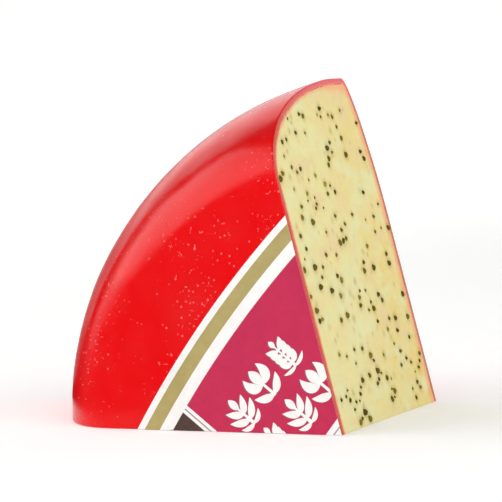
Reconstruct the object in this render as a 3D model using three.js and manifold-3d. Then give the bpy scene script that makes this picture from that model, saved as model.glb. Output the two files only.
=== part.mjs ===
// A wedge cut from a wheel of seeded cheese, standing on one of its two cut faces.
// The wheel's axis lies along Y, its labelled face looks to -Y, and +Z is up.
// All sizes are in millimetres.
//
// Three solids make the wedge: the cheese itself, the thin coat of wax that covers the
// wheel's two flat faces and its rim but not the two cut faces, and the paper label on
// the front face, which was cut through together with the wheel.
import * as THREE from "three";
import { mergeVertices } from "three/addons/utils/BufferGeometryUtils.js";
import Module from "manifold-3d";

// The wheel that the wedge was cut from, measured over its wax.
const WHEEL_RADIUS = 90; // at its widest ring
const WHEEL_THICKNESS = 70; // from the front face to the back face
const SHOULDER_REACH = 26.5; // how far in from the widest ring the front shoulder starts
const BACK_REACH = 38.5; // the same for the back shoulder
const WIDEST_FROM_BACK = 8.5; // the widest ring's distance from the back face
const SHOULDER_FULLNESS = 2.1; // superellipse power: 2 is an ellipse, more is squarer
const BACK_FULLNESS = 1.85;

// The wedge and its coverings.
const WEDGE_ANGLE = THREE.MathUtils.degToRad(76); // between the two cut faces
const WAX_THICKNESS = 1.8;
const LABEL_THICKNESS = 0.2;
const LABEL_MARGIN = 8.5; // from the label's corners to the start of the front shoulder
const LABEL_ARC_RADIUS = 270; // of the label's gently bowed outer edge
const CONTACT_GAP = 0.3; // left between the faces of two solids that lie on each other

// How finely round shapes are divided.
const WHEEL_SEGMENTS = 120; // facets in a full turn of the wheel
const SHOULDER_STEPS = 18;
const BACK_STEPS = 12;
const LABEL_STEPS = 24;
const TRIM_SLACK = 0.02; // how much nearer than the inset a moved point may come to the rim
const MERGE_DISTANCE = 1e-4; // corners closer than this are one corner

const manifold = await Module();
manifold.setup();

/** A closed three.js geometry as a solid that can be cut. */
function solidFrom(geometry) {
  const bare = geometry.clone();
  bare.deleteAttribute("normal");
  bare.deleteAttribute("uv");
  const merged = mergeVertices(bare, MERGE_DISTANCE);
  return new manifold.Manifold(
    new manifold.Mesh({
      numProp: 3,
      vertProperties: merged.attributes.position.array,
      triVerts: new Uint32Array(merged.index.array),
    }),
  );
}

/** The solid's surface as a three.js geometry. */
function geometryFrom(solid) {
  const mesh = solid.getMesh();
  return new THREE.BufferGeometry()
    .setAttribute("position", new THREE.BufferAttribute(mesh.vertProperties, 3))
    .setIndex(new THREE.BufferAttribute(mesh.triVerts, 1));
}

/**
 * Points on the rim, from the front face round to the back, each with its outward normal,
 * as radius and distance from the front face. Each shoulder is a quarter of a superellipse.
 */
function rimSamples() {
  const widestAt = WHEEL_THICKNESS - WIDEST_FROM_BACK;
  const samples = [];
  const add = (t, reach, depth, fullness) => {
    const across = Math.sin((t * Math.PI) / 2) ** (2 / fullness);
    const along = Math.cos((t * Math.PI) / 2) ** (2 / fullness);
    const x = across ** (fullness - 1) / reach;
    const y = -(along ** (fullness - 1)) / depth;
    samples.push({
      point: new THREE.Vector2(WHEEL_RADIUS - reach * (1 - across), widestAt - depth * along),
      normal: new THREE.Vector2(x, y).normalize(),
    });
  };
  for (let i = 0; i <= SHOULDER_STEPS; i++) {
    add(i / SHOULDER_STEPS, SHOULDER_REACH, widestAt, SHOULDER_FULLNESS);
  }
  for (let i = BACK_STEPS - 1; i >= 0; i--) {
    add(i / BACK_STEPS, BACK_REACH, -WIDEST_FROM_BACK, BACK_FULLNESS);
  }
  return samples;
}

/**
 * Half of the wheel's cross-section, moved inwards by the inset on every side.
 * Moved points that come too near another part of the rim are left out, so that the
 * profile keeps one clean corner where the rim is rounded more tightly than the inset.
 */
function wheelProfile(inset) {
  const rim = rimSamples();
  const clear = (moved) => rim.every(({ point }) => moved.distanceTo(point) > inset - TRIM_SLACK);
  const moved = rim.map(({ point, normal }) => point.clone().addScaledVector(normal, -inset));
  return [
    new THREE.Vector2(0, inset),
    ...moved.filter(clear),
    new THREE.Vector2(0, WHEEL_THICKNESS - inset),
  ];
}

/** The whole wheel as a solid, made smaller by the inset on every side. */
function wheel(inset) {
  return solidFrom(new THREE.LatheGeometry(wheelProfile(inset), WHEEL_SEGMENTS));
}

/**
 * A flat outline in the wheel's plane, given as X and Z, made a prism along Y
 * from the first distance to the second.
 */
function prism(outline, fromY, toY) {
  return new THREE.ExtrudeGeometry(outline, {
    depth: toY - fromY,
    bevelEnabled: false,
  })
    .rotateX(Math.PI / 2)
    .translate(0, toY, 0);
}

/** The point at that distance from the wheel's axis, that angle up from the lower cut. */
function polar(distance, angle) {
  return new THREE.Vector2(-distance * Math.cos(angle), distance * Math.sin(angle));
}

/** All the space between the two cuts, which meet on the wheel's axis. */
function wedgeSpace() {
  const beyond = 2 * WHEEL_RADIUS;
  const outline = new THREE.Shape([
    new THREE.Vector2(0, 0),
    polar(beyond, WEDGE_ANGLE),
    polar(beyond, WEDGE_ANGLE / 2),
    polar(beyond, 0),
  ]);
  return solidFrom(prism(outline, -WHEEL_THICKNESS, 2 * WHEEL_THICKNESS));
}

/** The cheese: everything inside the wax, between the two cuts. */
function cheeseGeometry(space) {
  return geometryFrom(wheel(WAX_THICKNESS + CONTACT_GAP).intersect(space));
}

/** The wax: a shell over the faces and the rim, open at the two cuts. */
function waxGeometry(space) {
  return geometryFrom(wheel(0).subtract(wheel(WAX_THICKNESS)).intersect(space));
}

/**
 * The label: what the two cuts left of a sheet with a bowed edge.
 * Its corners lie on the cuts, and the arc between them has its centre beyond the axis.
 */
function labelGeometry() {
  const corner = WHEEL_RADIUS - SHOULDER_REACH - LABEL_MARGIN;
  const half = WEDGE_ANGLE / 2;
  const halfChord = corner * Math.sin(half);
  const spread = Math.asin(halfChord / LABEL_ARC_RADIUS);
  const back = LABEL_ARC_RADIUS * Math.cos(spread) - corner * Math.cos(half);
  const centre = polar(-back, half);
  const outline = [new THREE.Vector2(0, 0)];
  for (let i = 0; i <= LABEL_STEPS; i++) {
    const angle = half + spread * (1 - (2 * i) / LABEL_STEPS);
    outline.push(centre.clone().add(polar(LABEL_ARC_RADIUS, angle)));
  }
  outline.at(1).copy(polar(corner, WEDGE_ANGLE));
  outline.at(-1).copy(polar(corner, 0));
  return prism(
    new THREE.Shape(outline),
    -CONTACT_GAP - LABEL_THICKNESS,
    -CONTACT_GAP,
  );
}

/** A named mesh with its own plain material. */
function piece(name, geometry, color, roughness) {
  const material = new THREE.MeshStandardMaterial({ color, roughness, metalness: 0 });
  const mesh = new THREE.Mesh(geometry, material);
  mesh.name = name;
  return mesh;
}

const space = wedgeSpace();
const wedge = new THREE.Group();
wedge.add(
  piece("cheese", cheeseGeometry(space), 0xe6dc9f, 0.55),
  piece("wax_coat", waxGeometry(space), 0xd9060d, 0.35),
  piece("label", labelGeometry(), 0xc43a5b, 0.6),
);

// The origin is the middle of the wedge's footprint, on the surface that it stands on.
const labelFront = -CONTACT_GAP - LABEL_THICKNESS;
wedge.position.set(WHEEL_RADIUS / 2, -(WHEEL_THICKNESS + labelFront) / 2, 0);

export default wedge;
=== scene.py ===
"""A wedge cut from a wheel of red-waxed cheese full of whole seeds, on a pale studio floor.

The wedge stands on its lower cut face. The wheel's axis lies along Y, the labelled face looks to
-Y, and the sharp edge where the two cuts meet runs along Y at the wedge's +X side. Places on the
wheel are given as a distance from its axis, a depth behind its front face, and an angle up from
the lower cut. Lengths are in metres, and small ones are written as millimetres times MM.
"""

import itertools
import logging
import math
from dataclasses import dataclass, field
from enum import Enum

import bmesh
import bpy
import numpy as np
from mathutils import Matrix, Vector


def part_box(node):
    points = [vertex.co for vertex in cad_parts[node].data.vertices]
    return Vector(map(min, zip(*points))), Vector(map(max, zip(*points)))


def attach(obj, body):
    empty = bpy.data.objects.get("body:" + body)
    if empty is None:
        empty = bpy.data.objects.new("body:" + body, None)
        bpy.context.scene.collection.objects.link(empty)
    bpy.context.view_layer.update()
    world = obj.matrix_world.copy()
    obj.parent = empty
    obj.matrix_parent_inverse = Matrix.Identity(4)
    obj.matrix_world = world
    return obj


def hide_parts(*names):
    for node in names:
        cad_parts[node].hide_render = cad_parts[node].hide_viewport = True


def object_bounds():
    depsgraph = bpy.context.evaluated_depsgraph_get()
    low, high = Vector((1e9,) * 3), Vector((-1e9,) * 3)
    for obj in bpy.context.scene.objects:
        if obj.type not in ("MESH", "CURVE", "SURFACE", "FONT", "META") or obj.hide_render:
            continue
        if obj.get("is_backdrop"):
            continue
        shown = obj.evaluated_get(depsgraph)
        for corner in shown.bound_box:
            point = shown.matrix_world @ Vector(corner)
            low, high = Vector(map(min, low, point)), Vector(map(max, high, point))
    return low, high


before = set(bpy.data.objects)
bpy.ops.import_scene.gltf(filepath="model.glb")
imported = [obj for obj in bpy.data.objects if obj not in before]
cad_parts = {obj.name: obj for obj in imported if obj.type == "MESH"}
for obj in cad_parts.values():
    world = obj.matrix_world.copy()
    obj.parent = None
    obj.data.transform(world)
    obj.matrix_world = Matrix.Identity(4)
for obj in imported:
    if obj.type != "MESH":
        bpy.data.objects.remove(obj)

MM = 0.001
ROOT = "root"
WELD_DISTANCE = 1e-6
log = logging.getLogger("cheese")

Array = np.ndarray
Colour = tuple[float, float, float, float]


# ---------------------------------------------------------------------------------------------
# Small mathematical helpers
# ---------------------------------------------------------------------------------------------


def linear(red: int, green: int, blue: int) -> Colour:
    """Turn a display colour, from 0 to 255, into the linear colour that sockets take.

    Args:
        red: The red share.
        green: The green share.
        blue: The blue share.

    Returns:
        The linear red, green and blue, and an alpha of 1.
    """
    shares = np.array([red, green, blue]) / 255
    low = shares / 12.92
    high = ((shares + 0.055) / 1.055) ** 2.4
    return (*np.where(shares <= 0.04045, low, high).tolist(), 1.0)


def smooth_step(value: Array, low: float, high: float) -> Array:
    """Rise smoothly from 0 at low to 1 at high, as 3 t squared minus 2 t cubed.

    Args:
        value: Where on the rise each number is.
        low: Where the rise starts.
        high: Where it ends.

    Returns:
        The height at each value, from 0 to 1.
    """
    share = np.clip((value - low) / (high - low), 0, 1)
    return share * share * (3 - 2 * share)


def lattice_noise(points: Array, cell: float, seed: int) -> Array:
    """Give smooth random heights from -1 to 1.

    Each corner of a cubic lattice has a hashed random number, and a point blends the eight
    corners round it with the S-curve 3 t squared minus 2 t cubed along each axis.

    Args:
        points: Where to take the heights, with x, y and z along the last axis.
        cell: The lattice's spacing, or one spacing for each axis.
        seed: Which random numbers to use.

    Returns:
        One height for each point.
    """
    scaled = points / np.asarray(cell)
    corner = np.floor(scaled).astype(np.int64)
    share = scaled - corner
    share = share * share * (3 - 2 * share)
    total = np.zeros(points.shape[:-1])
    for offset in itertools.product((0, 1), repeat=3):
        key = ((corner + offset) * (73856093, 19349663, 83492791)).sum(-1) + seed * 7919
        key = (key ^ (key >> 13)) * 1274126177 & 0xFFFFFFFF
        key = (key ^ (key >> 15)) * 2246822519 & 0xFFFFFFFF
        value = ((key ^ (key >> 16)) & 0xFFFF) / 32767.5 - 1
        total += value * np.where(offset, share, 1 - share).prod(-1)
    return total


def nearest_distance(points: Array, targets: Array) -> Array:
    """Measure how far each point is from the nearest target.

    Args:
        points: Points of any leading shape, with their coordinates along the last axis.
        targets: A list of points of the same number of coordinates.

    Returns:
        The least distance for each point.
    """
    flat = points.reshape(-1, points.shape[-1])
    gaps = flat[:, None, :] - targets[None, :, :]
    return np.sqrt((gaps**2).sum(-1).min(1)).reshape(points.shape[:-1])


# ---------------------------------------------------------------------------------------------
# Meshes from grids
# ---------------------------------------------------------------------------------------------


@dataclass
class Patch:
    """A piece of surface: rows and columns of points with a four-sided face in each cell.

    Attributes:
        points: The points, as (..., rows, columns, 3). Leading axes hold separate copies.
        slot: Which of the mesh's materials the faces wear.
        values: Named numbers at the points, for the materials to read.
    """

    points: Array
    slot: int = 0
    values: dict[str, Array] = field(default_factory=dict)

    def faces(self, start: int) -> Array:
        """List the faces' corners.

        Args:
            start: The index of the patch's first point in the mesh.

        Returns:
            Four corner indices for each face.
        """
        rows, columns = self.points.shape[-3:-1]
        copies = self.points[..., 0].size // (rows * columns)
        cell = np.arange(rows - 1)[:, None] * columns + np.arange(columns - 1)
        corners = np.stack([cell, cell + 1, cell + columns + 1, cell + columns], -1).reshape(-1, 4)
        shift = np.arange(copies)[:, None, None] * rows * columns
        return (corners + shift).reshape(-1, 4) + start


def slab(front: Array, back: Array, slot: int = 0) -> list[Patch]:
    """Close two matching grids into a thin solid by a band round their four borders.

    Args:
        front: The grid that is seen, as (..., rows, columns, 3).
        back: The grid behind it, of the same shape.
        slot: Which material the solid wears.

    Returns:
        The two grids and the band between their borders.
    """

    def border(grid: Array) -> Array:
        """Walk once round a grid's border, back to its first point."""
        sides = [
            grid[..., 0, :, :],
            grid[..., 1:, -1, :],
            grid[..., -1, -2::-1, :],
            grid[..., -2::-1, 0, :],
        ]
        return np.concatenate(sides, -2)

    band = np.stack([border(front), border(back)], -3)
    return [Patch(front, slot), Patch(back, slot), Patch(band, slot)]


def make_piece(
    name: str,
    patches: list[Patch],
    materials: list[bpy.types.Material],
    sharp_angle: float = math.radians(40),
) -> bpy.types.Object:
    """Make one closed object of patches whose shared borders are welded together.

    Args:
        name: The object's name.
        patches: The surface's parts.
        materials: The materials that the patches' slots number.
        sharp_angle: Edges that turn by more than this stay crisp.

    Returns:
        The object, at the origin, with its place in its mesh.
    """
    starts = np.cumsum([0] + [patch.points[..., 0].size for patch in patches])
    points = np.concatenate([patch.points.reshape(-1, 3) for patch in patches])
    faces = [patch.faces(start) for patch, start in zip(patches, starts)]
    mesh = bpy.data.meshes.new(name)
    mesh.from_pydata(points, [], np.concatenate(faces))
    slots = np.repeat([patch.slot for patch in patches], [len(part) for part in faces])
    mesh.polygons.foreach_set("material_index", slots.astype(np.int32))
    for value_name in sorted({key for patch in patches for key in patch.values}):
        layer = mesh.attributes.new(value_name, "FLOAT", "POINT")
        parts = [
            np.broadcast_to(patch.values.get(value_name, 0.0), patch.points.shape[:-1]).ravel()
            for patch in patches
        ]
        layer.data.foreach_set("value", np.concatenate(parts).astype(np.float32))

    sculpt = bmesh.new()
    sculpt.from_mesh(mesh)
    bmesh.ops.remove_doubles(sculpt, verts=sculpt.verts, dist=WELD_DISTANCE)
    bmesh.ops.dissolve_degenerate(sculpt, edges=sculpt.edges, dist=WELD_DISTANCE / 10)
    bmesh.ops.recalc_face_normals(sculpt, faces=sculpt.faces)
    open_edges = sum(not edge.is_manifold for edge in sculpt.edges)
    sculpt.to_mesh(mesh)
    sculpt.free()

    mesh.polygons.foreach_set("use_smooth", np.ones(len(mesh.polygons), bool))
    mesh.set_sharp_from_angle(angle=sharp_angle)
    for material in materials:
        mesh.materials.append(material)
    piece = bpy.data.objects.new(name, mesh)
    bpy.context.scene.collection.objects.link(piece)
    log.info("%s: %d faces, %d open edges", name, len(mesh.polygons), open_edges)
    return piece


# ---------------------------------------------------------------------------------------------
# The wheel's shape
# ---------------------------------------------------------------------------------------------


@dataclass(frozen=True)
class Wheel:
    """The waxed wheel that the wedge was cut from.

    Attributes:
        edge_x: Where the wheel's axis is, along X, at height 0.
        front_y: Where the wax's front face is.
        radius: The wheel's radius over its wax, at the widest ring.
        thickness: From the front face to the back face.
        wedge_angle: Between the two cuts.
        front_reach: How far in from the widest ring the front shoulder starts.
        back_reach: The same for the back shoulder.
        widest_from_back: The widest ring's distance from the back face.
        front_fullness: The front shoulder's superellipse power.
        back_fullness: The back shoulder's superellipse power.
        wax: The wax's thickness.
    """

    edge_x: float
    front_y: float
    radius: float
    thickness: float
    wedge_angle: float = math.radians(76)
    front_reach: float = 26.5 * MM
    back_reach: float = 38.5 * MM
    widest_from_back: float = 8.5 * MM
    front_fullness: float = 2.1
    back_fullness: float = 1.85
    wax: float = 1.8 * MM

    @classmethod
    def of_frame(cls) -> "Wheel":
        """Take the wheel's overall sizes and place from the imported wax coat."""
        low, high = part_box("wax_coat")
        return cls(
            edge_x=high.x,
            front_y=low.y,
            radius=high.x - low.x,
            thickness=high.y - low.y,
        )

    def place(self, distance: Array, depth: Array, angle: Array) -> Array:
        """Turn places on the wheel into points.

        The point is the axis minus distance times the cosine along X, the front face plus the
        depth along Y, and distance times the sine along Z.

        Args:
            distance: From the wheel's axis.
            depth: Behind the wax's front face.
            angle: Up from the lower cut.

        Returns:
            The points, with x, y and z along the last axis.
        """
        distance, depth, angle = np.broadcast_arrays(distance, depth, angle)
        x = self.edge_x - distance * np.cos(angle)
        return np.stack([x, self.front_y + depth, distance * np.sin(angle)], -1)

    def outline(self, flat_rows: int = 56, shoulder_rows: int = 64) -> tuple[Array, Array]:
        """Trace half of the wheel's cross-section over its wax.

        Each shoulder is a quarter of a superellipse: the distance from the axis grows as a
        power of a sine while the depth changes as the same power of the cosine.

        Args:
            flat_rows: Points on each flat face.
            shoulder_rows: Points on each shoulder.

        Returns:
            The points as distance and depth, from the front face's middle round to the back
            face's middle, and their outward normals.
        """
        turn = np.linspace(0, math.pi / 2, shoulder_rows)
        widest = self.thickness - self.widest_from_back

        def shoulder(reach: float, drop: float, fullness: float) -> tuple[Array, Array]:
            """Trace one shoulder and its normals, from its flat face to the widest place."""
            across = np.sin(turn) ** (2 / fullness)
            along = np.cos(turn) ** (2 / fullness)
            at = np.stack([self.radius - reach * (1 - across), widest - drop * along], -1)
            normal = np.stack(
                [across ** (fullness - 1) / reach, -(along ** (fullness - 1)) / drop], -1
            )
            return at, normal / np.linalg.norm(normal, axis=-1, keepdims=True)

        front, front_normal = shoulder(self.front_reach, widest, self.front_fullness)
        back, back_normal = shoulder(self.back_reach, -self.widest_from_back, self.back_fullness)
        spread = np.linspace(0, 1, flat_rows)[:-1, None]
        face = spread * (front[0] * (1, 0))
        rear = (0, self.thickness) + spread * (back[0, 0], 0)
        points = np.concatenate([face, front, back[-2::-1], rear[::-1]])
        normals = np.concatenate(
            [
                np.broadcast_to((0.0, -1.0), face.shape),
                front_normal,
                back_normal[-2::-1],
                np.broadcast_to((0.0, 1.0), rear.shape),
            ]
        )
        return points, normals

    def inset_outline(self, inset: float) -> Array:
        """Trace the cross-section moved inwards by the inset on every side.

        Moved points that come nearer than the inset to another part of the rim are replaced by
        points between their good neighbours, which leaves one clean corner.

        Args:
            inset: How far in.

        Returns:
            The points as distance and depth, as many as the outline has.
        """
        points, normals = self.outline()
        moved = points - inset * normals
        good = nearest_distance(moved, points) > inset - 0.02 * MM
        order = np.arange(len(moved))
        sides = [np.interp(order, order[good], moved[good, side]) for side in (0, 1)]
        return np.stack(sides, -1)

    def cut_normal(self, angle: float) -> Array:
        """Give the outward normal of the cut at that angle, which is either cut's."""
        sign = 1 if angle > 0 else -1
        return sign * np.array([math.sin(angle), 0.0, math.cos(angle)])


# ---------------------------------------------------------------------------------------------
# Materials
# ---------------------------------------------------------------------------------------------

Feed = bpy.types.NodeSocket | float | tuple


class NodeTree:
    """Places shader nodes in a tree and joins them."""

    def __init__(self, tree: bpy.types.NodeTree) -> None:
        """Keep the tree that the nodes go in."""
        self.tree = tree

    def add(self, kind: str, feeds: dict[str | int, Feed] | None = None, **settings) -> bpy.types.Node:
        """Place one node.

        Args:
            kind: The node's type, without the leading "ShaderNode".
            feeds: What each input takes: a socket to join, or a value to set.
            **settings: The node's own properties.

        Returns:
            The node.
        """
        node = self.tree.nodes.new("ShaderNode" + kind)
        for key, value in settings.items():
            setattr(node, key, value)
        for key, value in (feeds or {}).items():
            if isinstance(value, bpy.types.NodeSocket):
                self.tree.links.new(value, node.inputs[key])
            else:
                node.inputs[key].default_value = value
        return node

    def math(self, operation: str, first: Feed, second: Feed = 0.0, clamp: bool = False) -> Feed:
        """Work out a sum, product or other operation of two numbers, and return its socket."""
        node = self.add("Math", {0: first, 1: second}, operation=operation, use_clamp=clamp)
        return node.outputs[0]

    def mix(self, share: Feed, first: Feed, second: Feed, blend: str = "MIX") -> Feed:
        """Blend two colours by a share, and return the socket of the result."""
        node = self.add(
            "Mix", {0: share, 6: first, 7: second}, data_type="RGBA", blend_type=blend
        )
        return node.outputs[2]

    def noise(self, vector: Feed, scale: Feed, detail: float = 2.0, rough: float = 0.5) -> Feed:
        """Make a cloudy pattern from 0 to 1, and return its socket."""
        feeds = {"Vector": vector, "Scale": scale, "Detail": detail, "Roughness": rough}
        return self.add("TexNoise", feeds).outputs["Fac"]

    def rise(self, value: Feed, low: float, high: float, to: float = 1.0) -> Feed:
        """Map low to 0 and high to the given height along an S-curve, and return its socket."""
        feeds = {"Value": value, "From Min": low, "From Max": high, "To Max": to}
        node = self.add("MapRange", feeds, interpolation_type="SMOOTHSTEP")
        return node.outputs[0]

    def stretched(self, vector: Feed, turn: tuple, scale: tuple) -> Feed:
        """Turn and stretch a pattern's coordinates, and return their socket."""
        feeds = {"Vector": vector, "Rotation": turn, "Scale": scale}
        return self.add("Mapping", feeds).outputs[0]

    def value_at(self, name: str) -> Feed:
        """Read one of the mesh's own values, and return its socket."""
        return self.add("Attribute", attribute_name=name).outputs["Fac"]


def new_group(name: str, inputs: dict[str, tuple[str, Feed]], outputs: dict[str, str]) -> tuple:
    """Start a node group with named inputs and outputs.

    Args:
        name: The group's name.
        inputs: Each input's socket type and, unless it is a vector, its default.
        outputs: Each output's socket type.

    Returns:
        The group, its NodeTree, its input node's sockets and its output node.
    """
    group = bpy.data.node_groups.new(name, "ShaderNodeTree")
    for key, (kind, default) in inputs.items():
        socket = group.interface.new_socket(key, in_out="INPUT", socket_type="NodeSocket" + kind)
        if default is not None:
            socket.default_value = default
    for key, kind in outputs.items():
        group.interface.new_socket(key, in_out="OUTPUT", socket_type="NodeSocket" + kind)
    given = group.nodes.new("NodeGroupInput").outputs
    return group, NodeTree(group), given, group.nodes.new("NodeGroupOutput")


def grain_group() -> bpy.types.NodeTree:
    """Build the group that gives a surface its fine, uneven height.

    Returns:
        A group that takes Vector, Frequency and Evenness and gives Height, from 0 to 1: a coarse
        cloud, a fine cloud at four times its frequency, and shares of each by Evenness.
    """
    group, nodes, given, result = new_group(
        "surface_grain",
        {"Vector": ("Vector", None), "Frequency": ("Float", 800.0), "Evenness": ("Float", 0.5)},
        {"Height": "Float"},
    )
    coarse = nodes.noise(given["Vector"], given["Frequency"], 3.0, 0.55)
    finer = nodes.math("MULTIPLY", given["Frequency"], 4.0)
    fine = nodes.noise(given["Vector"], finer, 2.0, 0.5)
    mixed = nodes.add("Mix", {0: given["Evenness"], 2: coarse, 3: fine})
    nodes.tree.links.new(mixed.outputs[0], result.inputs["Height"])
    return group


def mottle_group() -> bpy.types.NodeTree:
    """Build the group that makes a flat colour uneven, as pigment, curd and ink are.

    Returns:
        A group that takes Vector, Colour, Shade, Frequency and Strength and gives Colour: the
        colour moved towards the shade in soft clouds, as far as Strength says.
    """
    group, nodes, given, result = new_group(
        "mottle",
        {
            "Vector": ("Vector", None),
            "Colour": ("Color", (1.0, 1.0, 1.0, 1.0)),
            "Shade": ("Color", (0.5, 0.5, 0.5, 1.0)),
            "Frequency": ("Float", 200.0),
            "Strength": ("Float", 0.5),
        },
        {"Colour": "Color"},
    )
    cloud = nodes.noise(given["Vector"], given["Frequency"], 4.0, 0.6)
    share = nodes.math("MULTIPLY", nodes.rise(cloud, 0.25, 0.8), given["Strength"])
    mixed = nodes.mix(share, given["Colour"], given["Shade"])
    nodes.tree.links.new(mixed, result.inputs["Colour"])
    return group


class Workshop:
    """Holds the shared node groups and starts each material."""

    def __init__(self) -> None:
        """Build the shared groups once."""
        self.grain = grain_group()
        self.mottle = mottle_group()

    def start(self, name: str) -> tuple[bpy.types.Material, NodeTree, bpy.types.Node, Feed]:
        """Start a material with only its shader.

        Args:
            name: The material's name.

        Returns:
            The material, its NodeTree, its Principled BSDF and the Object coordinates.
        """
        material = bpy.data.materials.new(name)
        material.use_nodes = True
        nodes = NodeTree(material.node_tree)
        shader = material.node_tree.nodes["Principled BSDF"]
        place = nodes.add("TexCoord").outputs["Object"]
        return material, nodes, shader, place

    def use(self, nodes: NodeTree, group: bpy.types.NodeTree, feeds: dict[str, Feed]) -> Feed:
        """Place a shared group in a material.

        Args:
            nodes: The material's nodes.
            group: The shared group.
            feeds: What each of the group's inputs takes.

        Returns:
            The group's only output.
        """
        node = nodes.tree.nodes.new("ShaderNodeGroup")
        node.node_tree = group
        for key, value in feeds.items():
            if isinstance(value, bpy.types.NodeSocket):
                nodes.tree.links.new(value, node.inputs[key])
            else:
                node.inputs[key].default_value = value
        return node.outputs[0]

    def bump(self, nodes: NodeTree, shader: bpy.types.Node, height: Feed, depth: float) -> None:
        """Raise the shader's surface by a height that counts as so many metres."""
        node = nodes.add("Bump", {"Strength": 1.0, "Distance": depth, "Height": height})
        nodes.tree.links.new(node.outputs[0], shader.inputs["Normal"])


def set_shader(shader: bpy.types.Node, **values: Feed) -> None:
    """Set a shader's own sockets, named with underscores for spaces."""
    for key, value in values.items():
        shader.inputs[key.replace("_", " ")].default_value = value


@dataclass(frozen=True)
class WaxFinish:
    """Glossy red dipping wax with scuffs, crumbs and a softly lumpy skin, and painted light in its
    colour: shade on the shoulder, a faint sheen, and glints on the marks.
    """

    red: Colour = linear(224, 2, 7)
    deep_red: Colour = linear(212, 0, 4)
    # Painted shade: a darker red for the front shoulder, where the left light falls strongest.
    shoulder_painted_shade: Colour = linear(204, 1, 7)
    # A pale pink: the scuffs' and crumbs' own paler colour, and painted glints and a faint painted
    # sheen.
    scuff_and_sheen: Colour = linear(250, 140, 140)
    roughness: float = 0.21

    def scratches(self, nodes: NodeTree, place: Feed, turn: float, seed: float) -> Feed:
        """Mark short, thin scuffs that all run one way.

        Args:
            nodes: The material's nodes.
            place: The Object coordinates.
            turn: The scuffs' angle in the front face's plane.
            seed: Moves the pattern, so that two directions differ.

        Returns:
            A mask that is 1 on a scuff.
        """
        along = nodes.stretched(place, (0.0, turn, seed), (420.0, 60.0, 2100.0))
        streak = nodes.noise(along, 1.0, 2.0, 0.5)
        where = nodes.noise(place, 85.0 + 9.0 * seed, 1.0, 0.5)
        return nodes.math(
            "MULTIPLY", nodes.rise(streak, 0.69, 0.75), nodes.rise(where, 0.52, 0.62)
        )

    def curls(self, nodes: NodeTree, place: Feed) -> Feed:
        """Mark short, curved hair scratches, which are pieces of the borders of cells.

        Args:
            nodes: The material's nodes.
            place: The Object coordinates.

        Returns:
            A mask that is 1 on a scratch.
        """
        cells = nodes.add(
            "TexVoronoi", {"Vector": place, "Scale": 520.0}, feature="DISTANCE_TO_EDGE"
        )
        hair = nodes.rise(cells.outputs["Distance"], 0.08, 0.02)
        pieces = nodes.rise(nodes.noise(place, 900.0, 1.0, 0.5), 0.61, 0.69)
        where = nodes.rise(nodes.noise(place, 75.0, 1.0, 0.5), 0.5, 0.6)
        return nodes.math("MULTIPLY", nodes.math("MULTIPLY", hair, pieces), where)

    def build(self, shop: Workshop, wheel: Wheel) -> bpy.types.Material:
        """Make the material.

        Args:
            shop: Where the shared groups are.
            wheel: Says where the front face is, which is the most marked part.

        Returns:
            The material.
        """
        material, nodes, shader, place = shop.start("red_wax")
        base = shop.use(
            nodes,
            shop.mottle,
            {
                "Vector": place,
                "Colour": self.red,
                "Shade": self.deep_red,
                "Frequency": 90.0,
                "Strength": 0.35,
            },
        )
        cells = nodes.add("TexVoronoi", {"Vector": place, "Scale": 900.0}, feature="F1")
        patchy = nodes.rise(nodes.noise(place, 60.0, 2.0, 0.6), 0.42, 0.6)
        crumb = nodes.rise(cells.outputs["Distance"], 0.32, 0.16)
        chance = nodes.add("SeparateColor", {0: cells.outputs["Color"]}).outputs
        picked = nodes.math("GREATER_THAN", chance[0], 0.68)
        picked = nodes.math("MULTIPLY", picked, nodes.math("ADD", chance[1], 0.15))
        crumbs = nodes.math("MULTIPLY", nodes.math("MULTIPLY", crumb, picked), patchy)
        scuffs = nodes.math(
            "MAXIMUM",
            self.scratches(nodes, place, math.radians(52), 0.3),
            self.scratches(nodes, place, math.radians(-24), 1.7),
        )
        marks = nodes.math("MAXIMUM", crumbs, scuffs)
        marks = nodes.math("MAXIMUM", marks, self.curls(nodes, place))
        across = nodes.add("SeparateXYZ", {0: place}).outputs["Y"]
        faces = nodes.rise(across, wheel.front_y + 8 * MM, wheel.front_y + 1 * MM, 0.85)
        marks = nodes.math("MULTIPLY", marks, nodes.math("ADD", faces, 0.15))
        # Painted shade: the red darkens on the front shoulder, from 0.5 to 17 mm behind the front
        # face, where the left light falls strongest.
        on_rim = nodes.rise(across, wheel.front_y + 0.5 * MM, wheel.front_y + 8 * MM)
        past = nodes.rise(across, wheel.front_y + 17 * MM, wheel.front_y + 8 * MM)
        on_rim = nodes.math("MULTIPLY", on_rim, past)
        base = nodes.mix(on_rim, base, self.shoulder_painted_shade)
        # Painted sheen: faint clouds of pale pink over the red, as a soft reflection.
        painted_sheen = nodes.rise(nodes.noise(place, 26.0, 3.0, 0.6), 0.45, 0.8, 0.05)
        base = nodes.mix(painted_sheen, base, self.scuff_and_sheen)
        # The marks are painted paler: partly the scuffs' and crumbs' own colour, partly painted glints
        # on their little bumps.
        coloured = nodes.mix(nodes.math("MULTIPLY", marks, 0.5), base, self.scuff_and_sheen)
        nodes.tree.links.new(coloured, shader.inputs["Base Color"])
        grain = shop.use(
            nodes, shop.grain, {"Vector": place, "Frequency": 420.0, "Evenness": 0.3}
        )
        uneven = nodes.rise(nodes.noise(place, 150.0, 3.0, 0.6), 0.2, 0.8, 0.12)
        rough = nodes.math("ADD", uneven, self.roughness - 0.06)
        rough = nodes.math("ADD", rough, nodes.math("MULTIPLY", marks, 0.25))
        nodes.tree.links.new(rough, shader.inputs["Roughness"])
        height = nodes.math("ADD", grain, nodes.math("MULTIPLY", marks, 0.9))
        shop.bump(nodes, shader, height, 0.05 * MM)
        set_shader(shader, IOR=1.45, Specular_IOR_Level=0.3, Subsurface_Weight=0.08)
        set_shader(shader, Subsurface_Radius=(1.0, 0.12, 0.1), Subsurface_Scale=1.2 * MM)
        return material


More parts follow.
